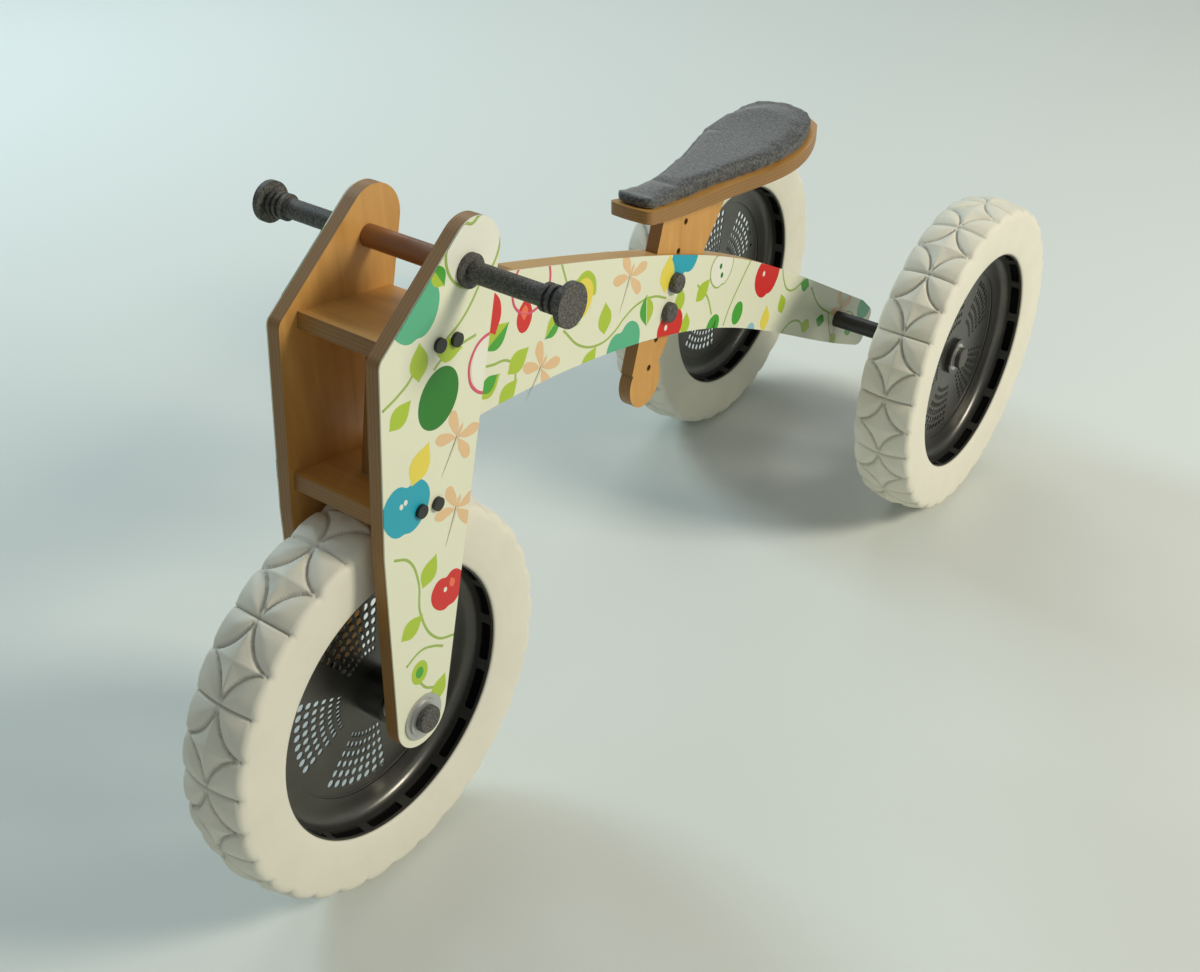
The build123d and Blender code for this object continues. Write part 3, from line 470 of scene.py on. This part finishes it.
fork_lines = [[(-6, 250), (8, 254), (20, 260), (30, 274)], [(40, 256), (48, 260), (66, 262), (80, 262)],
              [(98, 312), (84, 292), (68, 278), (50, 270)],
              [(-10, 142), (2, 134), (9, 113), (8, 86), (21, 56), (40, 46)],
              [(-10, 52), (4, 56), (16, 52), (26, 45)], [(1, 30), (6, 22), (14, 16)]]
print_faces("fork", "fork", fork_shapes, fork_over, fork_lines, ring(91, 237, 20), 0.0012,
            apple_line(83, 318, 50), 0.0010)

# ---- tyres ----
# Cream rubber balloon tyres. The tread is a belt of puffed four-pointed stars, tip to tip round
# the middle, with a cross groove from each meeting point out to both shoulders.
TYRE_R, PITCHES = 0.1525, 16


def arc_points(centre, radius, start, end, count):
    return [(centre[0] + radius * math.cos(math.radians(start + (end - start) * k / count)),
             centre[1] + radius * math.sin(math.radians(start + (end - start) * k / count)))
            for k in range(count + 1)]


half_profile = arc_points((0, 0.0802), 0.0723, 90, 72.4, 14) + arc_points((0.0218, 0.1434), 0.0057, 62, 0, 8)
half_profile += [(0.0273, 0.134), (0.0266, 0.122), (0.0256, 0.113), (0.0244, 0.1066), (0.0236, 0.1048),
                 (0.0228, 0.1046), (0.0220, 0.1048), (0.0220, 0.1060), (0.0150, 0.1062)]
lengths = [0.0]
for (x0, r0), (x1, r1) in zip(half_profile, half_profile[1:]):
    lengths.append(lengths[-1] + math.hypot(x1 - x0, r1 - r0))
pitch_length = 2 * math.pi * TYRE_R / PITCHES


def tread_depth(along, across):
    """How far the surface drops at a place on the belt: along within one star, and across."""
    a = abs((along + pitch_length / 2) % pitch_length - pitch_length / 2)
    b = abs(across)
    reach = 0.0250
    u, v = a / (pitch_length / 2), b / reach
    power = 0.66
    f = u ** power + v ** power - 1
    gu = power * max(u, 0.04) ** (power - 1) / (pitch_length / 2)
    gv = power * max(v, 0.04) ** (power - 1) / reach
    near = min(abs(f) / math.hypot(gu, gv), abs(a - pitch_length / 2))
    fade = 1 - min(1, max(0, (b - 0.0265) / 0.0070))
    # a star stands up at its middle line; the triangles beside it slope down to the shoulder
    groove = 0.0027 * math.exp(-(near / 0.0009) ** 2) + 0.0021 * math.exp(-(near / 0.0062) ** 2)
    fold = 0.0010 * math.exp(-(a / 0.0022) ** 2) * min(1, max(0, (b - reach * 0.85) / 0.004)) if f > 0 else 0
    ridge = 0.0008 * min(1, min(a, b) / 0.006) if f < 0 else 0.0008
    return (groove + fold + ridge) * fade


bpy.ops.object.select_all(action="DESELECT")
bpy.ops.mesh.primitive_grid_add(x_subdivisions=704, y_subdivisions=110, size=2)
tyre_master = bpy.context.object
for vertex in tyre_master.data.vertices:
    turn = (vertex.co.x + 1) * math.pi
    side_sign = 1 if vertex.co.y >= 0 else -1
    along_profile = abs(vertex.co.y) * lengths[-1]
    k = 0
    while k < len(lengths) - 2 and lengths[k + 1] < along_profile:
        k += 1
    part = (along_profile - lengths[k]) / (lengths[k + 1] - lengths[k])
    (x0, r0), (x1, r1) = half_profile[k], half_profile[k + 1]
    x, r = x0 + (x1 - x0) * part, r0 + (r1 - r0) * part
    span = math.hypot(x1 - x0, r1 - r0)
    drop = tread_depth(turn * TYRE_R, side_sign * along_profile)
    nx, nr = -(r1 - r0) / span, (x1 - x0) / span
    x, r = x - nx * drop, r - nr * drop
    vertex.co = (side_sign * x, r * math.cos(turn), r * math.sin(turn))
bpy.ops.object.mode_set(mode="EDIT")
bpy.ops.mesh.select_all(action="SELECT")
bpy.ops.mesh.remove_doubles(threshold=0.00002)
bpy.ops.mesh.normals_make_consistent(inside=False)
bpy.ops.object.mode_set(mode="OBJECT")
bpy.ops.object.shade_smooth()

# Cream rubber: a random mottle mixes the tint towards a duller dust tone, and painted shade darkens the
# tread's grooves and creases towards that same tone.
rubber_group = bpy.data.node_groups.new("cast_rubber", "ShaderNodeTree")
group_socket(rubber_group, "Tint", "NodeSocketColor", value=(0.8, 0.77, 0.64, 1))
group_socket(rubber_group, "Dust", "NodeSocketColor", value=(0.50, 0.48, 0.41, 1))
group_socket(rubber_group, "Color", "NodeSocketColor", out=True)
group_socket(rubber_group, "Roughness", "NodeSocketFloat", out=True)
group_socket(rubber_group, "Height", "NodeSocketFloat", out=True)
g_in = node(rubber_group, "NodeGroupInput")
g_out = node(rubber_group, "NodeGroupOutput")
place = node(rubber_group, "ShaderNodeTexCoord")
mottle = node(rubber_group, "ShaderNodeTexNoise")
mottle.inputs["Scale"].default_value = 30
mottle.inputs["Detail"].default_value = 5
pores = node(rubber_group, "ShaderNodeTexNoise")
pores.inputs["Scale"].default_value = 1400
# Painted shade: where the mesh's pointiness is low, in the grooves and creases of the tread, the rubber is
# mixed further towards the darker tone.
creases = node(rubber_group, "ShaderNodeNewGeometry")
crease_shade_ramp = node(rubber_group, "ShaderNodeMapRange")
crease_shade_ramp.inputs["From Min"].default_value = 0.40
crease_shade_ramp.inputs["From Max"].default_value = 0.50
mottle_and_crease_shade = node(rubber_group, "ShaderNodeMath", operation="MULTIPLY_ADD")
mottle_and_crease_shade.inputs[1].default_value = 0.35
tone = node(rubber_group, "ShaderNodeMix", data_type="RGBA")
rough = node(rubber_group, "ShaderNodeMapRange")
rough.inputs["To Min"].default_value = 0.5
rough.inputs["To Max"].default_value = 0.68
crease_shade = node(rubber_group, "ShaderNodeMath", operation="SUBTRACT")
crease_shade.inputs[0].default_value = 1.0
ln = rubber_group.links.new
ln(place.outputs["Object"], mottle.inputs["Vector"])
ln(place.outputs["Object"], pores.inputs["Vector"])
ln(creases.outputs["Pointiness"], crease_shade_ramp.inputs["Value"])
ln(crease_shade_ramp.outputs["Result"], crease_shade.inputs[1])
ln(mottle.outputs["Fac"], mottle_and_crease_shade.inputs[0])
ln(crease_shade.outputs["Value"], mottle_and_crease_shade.inputs[2])
ln(mottle_and_crease_shade.outputs["Value"], tone.inputs["Factor"])
ln(g_in.outputs["Tint"], tone.inputs[6])
ln(g_in.outputs["Dust"], tone.inputs[7])
ln(tone.outputs[2], g_out.inputs["Color"])
ln(mottle.outputs["Fac"], rough.inputs["Value"])
ln(rough.outputs["Result"], g_out.inputs["Roughness"])
ln(pores.outputs["Fac"], g_out.inputs["Height"])
cream_rubber = finish_with(rubber_group, "cream_rubber", bump=0.08, bump_depth=0.0003)
# Near-black rubber for the rim bands behind the slots. It is partly the band's own colour and partly painted
# shade, standing in for the dark hollow inside the slots.
black_rubber_slot_shade = finish_with(rubber_group, "black_rubber_slot_shade", Tint=(0.004, 0.004, 0.004, 1),
                           Dust=(0.006, 0.006, 0.006, 1))
black_rubber_slot_shade.node_tree.nodes["Principled BSDF"].inputs["Specular IOR Level"].default_value = 0.05
tyre_master.data.materials.append(cream_rubber)

HALF_TRACK, HALF_BASE = 0.134, 0.3298
# name, body, place of the centre, and how far the star pattern is turned, degrees
wheel_sets = (("front", "front_wheel", 0, -HALF_BASE, 112.95),
              ("rear_left", "rear_wheel_left", HALF_TRACK, HALF_BASE, 113.75),
              ("rear_right", "rear_wheel_right", -HALF_TRACK, HALF_BASE, 113.75))
for name, body, x, y, start in wheel_sets:
    tyre = tyre_master.copy()
    tyre.data = tyre_master.data.copy()
    tyre.name = name + "_star_tyre"
    scene.collection.objects.link(tyre)
    tyre.data.transform(Matrix.Translation((x, y, TYRE_R)) @ Matrix.Rotation(math.radians(start), 4, "X"))
    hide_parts(name + "_tyre")
    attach(tyre, body)
    # black band behind the rim slots, partly painted shade for their dark insides
    paint(black_rubber_slot_shade, name + "_rim_band")
bpy.data.objects.remove(tyre_master)

# ---- rims ----
# Pressed aluminium wheels. Each has a flat web pierced by five fans of oblong holes, a raised
# bead at its edge, and a dished wall up to the slotted tyre seat.
metal_group = bpy.data.node_groups.new("brushed_metal", "ShaderNodeTree")
group_socket(metal_group, "Metal", "NodeSocketColor", value=(0.42, 0.41, 0.38, 1))
group_socket(metal_group, "Smudge", "NodeSocketColor", value=(0.32, 0.31, 0.28, 1))
group_socket(metal_group, "Gloss Low", "NodeSocketFloat", value=0.34)
group_socket(metal_group, "Gloss High", "NodeSocketFloat", value=0.5)
group_socket(metal_group, "Color", "NodeSocketColor", out=True)
group_socket(metal_group, "Roughness", "NodeSocketFloat", out=True)
group_socket(metal_group, "Height", "NodeSocketFloat", out=True)
g_in = node(metal_group, "NodeGroupInput")
g_out = node(metal_group, "NodeGroupOutput")
place = node(metal_group, "ShaderNodeTexCoord")
smears = node(metal_group, "ShaderNodeTexNoise")
smears.inputs["Scale"].default_value = 40
smears.inputs["Detail"].default_value = 6
grit = node(metal_group, "ShaderNodeTexNoise")
grit.inputs["Scale"].default_value = 2200
tone = node(metal_group, "ShaderNodeMix", data_type="RGBA")
rough = node(metal_group, "ShaderNodeMapRange")
ln = metal_group.links.new
ln(place.outputs["Object"], smears.inputs["Vector"])
ln(place.outputs["Object"], grit.inputs["Vector"])
ln(smears.outputs["Fac"], tone.inputs["Factor"])
ln(g_in.outputs["Metal"], tone.inputs[6])
ln(g_in.outputs["Smudge"], tone.inputs[7])
ln(tone.outputs[2], g_out.inputs["Color"])
ln(smears.outputs["Fac"], rough.inputs["Value"])
ln(g_in.outputs["Gloss Low"], rough.inputs["To Min"])
ln(g_in.outputs["Gloss High"], rough.inputs["To Max"])
ln(rough.outputs["Result"], g_out.inputs["Roughness"])
ln(grit.outputs["Fac"], g_out.inputs["Height"])


def metal(name, **values):
    made = finish_with(metal_group, name, bump=0.05, bump_depth=0.0002, **values)
    made.node_tree.nodes["Principled BSDF"].inputs["Metallic"].default_value = 0.85
    return made


rim_metal = metal("rim_aluminium", Metal=(0.14, 0.137, 0.122, 1), Smudge=(0.095, 0.092, 0.082, 1),
                  Gloss_Low=0.26, Gloss_High=0.40)
zinc = metal("zinc_plate", Metal=(0.62, 0.62, 0.60, 1), Smudge=(0.5, 0.5, 0.48, 1))
dark_steel = metal("dark_steel", Metal=(0.08, 0.08, 0.075, 1), Smudge=(0.05, 0.05, 0.05, 1))
bronze = metal("bush_bronze", Metal=(0.45, 0.26, 0.08, 1), Smudge=(0.36, 0.2, 0.06, 1))

WEB_RADIUS, WEB_BORE, WEB_HALF = 0.0830, 0.0168, 0.0007
FANS, FAN_COLUMNS, FAN_ROWS = 5, 8, 6
web_curve = bpy.data.curves.new("pierced_web", "CURVE")
web_curve.dimensions = "2D"
web_curve.fill_mode = "BOTH"
web_curve.extrude = WEB_HALF


def closed_loop(points):
    loop = web_curve.splines.new("POLY")
    loop.points.add(len(points) - 1)
    for target, (px, py) in zip(loop.points, points):
        target.co = (px, py, 0, 1)
    loop.use_cyclic_u = True


for radius, count in ((WEB_RADIUS, 160), (WEB_BORE, 64)):
    closed_loop([(radius * math.cos(2 * math.pi * k / count), radius * math.sin(2 * math.pi * k / count))
                 for k in range(count)])
for fan in range(FANS):
    for column in range(FAN_COLUMNS):
        for row in range(FAN_ROWS):
            angle = math.radians(-112.5 + 72 * fan + 6.2 * (column - 3.5))
            radius = 0.0348 + 0.00756 * row
            half_long, half_wide = 0.0023 + 0.00018 * row, 0.0013 + 0.00036 * row
            lean = angle + math.radians(10)
            loop = []
            for k in range(14):
                t = 2 * math.pi * k / 14
                along = half_wide * math.cos(t) + (half_long - half_wide) * (1 if math.cos(t) > 0 else -1)
                across = half_wide * math.sin(t)
                loop.append((radius * math.cos(angle) + along * math.cos(lean) - across * math.sin(lean),
                             radius * math.sin(angle) + along * math.sin(lean) + across * math.cos(lean)))
            closed_loop(loop)
web_master = bpy.data.objects.new("pierced_web", web_curve)
scene.collection.objects.link(web_master)
bpy.ops.object.select_all(action="DESELECT")
web_master.select_set(True)
bpy.context.view_layer.objects.active = web_master
bpy.ops.object.convert(target="MESH")
web_master.data.transform(Matrix(((0, 0, 1, 0), (1, 0, 0, 0), (0, 1, 0, 0), (0, 0, 0, 1))))

for name, body, x, y, start in wheel_sets:
    rim = nodes[name + "_rim"].copy()
    rim.data = nodes[name + "_rim"].data.copy()
    rim.name = name + "_pierced_rim"
    for key in list(rim.keys()):
        del rim[key]
    rim.parent = None
    scene.collection.objects.link(rim)
    shell = bmesh.new()
    shell.from_mesh(rim.data)
    bmesh.ops.remove_doubles(shell, verts=shell.verts, dist=0.000002)
    inner = [f for f in shell.faces
             if all(math.hypot(v.co.y - y, v.co.z - TYRE_R) < WEB_RADIUS + 0.00005 for v in f.verts)]
    bmesh.ops.delete(shell, geom=inner, context="FACES")
    shell.to_mesh(rim.data)
    shell.free()
    web = web_master.copy()
    web.data = web_master.data.copy()
    scene.collection.objects.link(web)
    web.data.transform(Matrix.Translation((x, y, TYRE_R)))
    bpy.ops.object.select_all(action="DESELECT")
    beads = []
    for face in (-WEB_HALF, WEB_HALF):
        bpy.ops.mesh.primitive_torus_add(major_radius=0.0828, minor_radius=0.0007, major_segments=144,
                                         minor_segments=8, location=(x + face, y, TYRE_R),
                                         rotation=(0, math.pi / 2, 0))
        beads.append(bpy.context.object)
        bpy.ops.object.transform_apply(location=True, rotation=True, scale=True)
    bpy.ops.object.select_all(action="DESELECT")
    for part in (web, *beads, rim):
        part.data.materials.clear()
        part.select_set(True)
    bpy.context.view_layer.objects.active = rim
    bpy.ops.object.join()
    rim.data.materials.clear()
    rim.data.materials.append(rim_metal)
    bpy.ops.object.shade_smooth_by_angle(angle=math.radians(30))
    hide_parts(name + "_rim")
    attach(rim, body)
    paint(rim_metal, name + "_hub")
    paint(zinc, name + "_bearings")
bpy.data.objects.remove(web_master)
paint(zinc, "front_axle", "front_axle_washers", "front_axle_nuts", "rear_axle", "rear_axle_washers",
      "rear_axle_nuts", "king_pin", "steering_washers", "seat_clamp_bolts", "seat_clamp_nuts",
      "shelf_barrel_nuts", "seat_screws", "handlebar_rod")
paint(dark_steel, "rear_axle_sleeves", "front_hub_spacers", "shelf_bolts")
paint(bronze, "steering_bushes")

# ---- handlebar, grips and caps ----
# A dark stained dowel, and grips and screw caps moulded in charcoal plastic full of pale flecks.
fleck_group = bpy.data.node_groups.new("flecked_plastic", "ShaderNodeTree")
group_socket(fleck_group, "Base", "NodeSocketColor", value=(0.035, 0.034, 0.032, 1))
group_socket(fleck_group, "Fleck", "NodeSocketColor", value=(0.16, 0.15, 0.13, 1))
group_socket(fleck_group, "Fleck Scale", "NodeSocketFloat", value=700)
group_socket(fleck_group, "Color", "NodeSocketColor", out=True)
group_socket(fleck_group, "Roughness", "NodeSocketFloat", out=True)
group_socket(fleck_group, "Height", "NodeSocketFloat", out=True)
g_in = node(fleck_group, "NodeGroupInput")
g_out = node(fleck_group, "NodeGroupOutput")
place = node(fleck_group, "ShaderNodeTexCoord")
flecks = node(fleck_group, "ShaderNodeTexNoise")
flecks.inputs["Detail"].default_value = 4
flecks.inputs["Roughness"].default_value = 0.7
fleck_ramp = node(fleck_group, "ShaderNodeMapRange")
fleck_ramp.inputs["From Min"].default_value = 0.42
fleck_ramp.inputs["From Max"].default_value = 0.66
tone = node(fleck_group, "ShaderNodeMix", data_type="RGBA")
rough = node(fleck_group, "ShaderNodeMapRange")
rough.inputs["To Min"].default_value = 0.5
rough.inputs["To Max"].default_value = 0.72
ln = fleck_group.links.new
ln(place.outputs["Object"], flecks.inputs["Vector"])
ln(g_in.outputs["Fleck Scale"], flecks.inputs["Scale"])
ln(flecks.outputs["Fac"], fleck_ramp.inputs["Value"])
ln(fleck_ramp.outputs["Result"], tone.inputs["Factor"])
ln(g_in.outputs["Base"], tone.inputs[6])
ln(g_in.outputs["Fleck"], tone.inputs[7])
ln(tone.outputs[2], g_out.inputs["Color"])
ln(flecks.outputs["Fac"], rough.inputs["Value"])
ln(rough.outputs["Result"], g_out.inputs["Roughness"])
ln(flecks.outputs["Fac"], g_out.inputs["Height"])
charcoal = finish_with(fleck_group, "charcoal_plastic", bump=0.25, bump_depth=0.0004)
paint(charcoal, "front_axle_caps", "rear_axle_caps", "seat_clamp_caps")
dowel = finish_with(ply_group, "stained_dowel", coat=0.2, Sheet_Axis=(0, 0, 0), Grain_Scale=(10, 200, 200),
                    Edge=(0.30, 0.115, 0.035, 1), Edge_Dark=(0.17, 0.06, 0.018, 1))
paint(dowel, "handlebar")
paint(charcoal, "grip_left", "grip_right")

# ---- saddle pad ----
# A thin felt-covered foam pad on the moulded board, crowned along its middle, with its edge
# rolled under and stapled, so it bulges a little above the board all round.
felt = finish_with(fleck_group, "felt", bump=0.5, bump_depth=0.0006, Base=(0.014, 0.015, 0.015, 1),
                   Fleck=(0.13, 0.135, 0.135, 1), Fleck_Scale=520.0)
felt.node_tree.nodes["Principled BSDF"].inputs["Sheen Weight"].default_value = 0.35
pad = nodes["seat_pad"].copy()
pad.data = nodes["seat_pad"].data.copy()
pad.name = "felt_pad"
for key in list(pad.keys()):
    del pad[key]
pad.parent = None
scene.collection.objects.link(pad)
low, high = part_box("seat_pad")
centre = (low + high) / 2
pad.data.transform(Matrix.Translation((0, centre.y, 0)) @ Matrix.Diagonal((0.99, 0.995, 1, 1))
                   @ Matrix.Translation((0, -centre.y, 0)))
bpy.ops.object.select_all(action="DESELECT")
pad.select_set(True)
bpy.context.view_layer.objects.active = pad
voxels = pad.modifiers.new("voxels", "REMESH")
voxels.mode = "VOXEL"
voxels.voxel_size = 0.003
bpy.ops.object.modifier_apply(modifier="voxels")
rest_places = [v.co.copy() for v in pad.data.vertices]
cloth = pad.modifiers.new("cloth", "CLOTH")
cloth.settings.use_pressure = True
cloth.settings.uniform_pressure_force = 4
cloth.settings.effector_weights.gravity = 0
for step in range(1, 15):
    scene.frame_set(step)
bpy.ops.object.modifier_apply(modifier="cloth")
scene.frame_set(1)
for vertex, rest in zip(pad.data.vertices, rest_places):
    move = vertex.co - rest
    move.z = max(move.z, 0)
    if move.length > 0.004:
        move = move.normalized() * 0.004
    vertex.co = rest + move
pad.data.materials.clear()
pad.data.materials.append(felt)
smooth = pad.modifiers.new("smooth", "SMOOTH")
smooth.factor = 0.5
smooth.iterations = 2
bpy.ops.object.modifier_apply(modifier="smooth")
finer = pad.modifiers.new("finer", "SUBSURF")
finer.levels = finer.render_levels = 1
bpy.ops.object.modifier_apply(modifier="finer")
bpy.ops.object.shade_smooth()
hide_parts("seat_pad")
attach(pad, "seat")
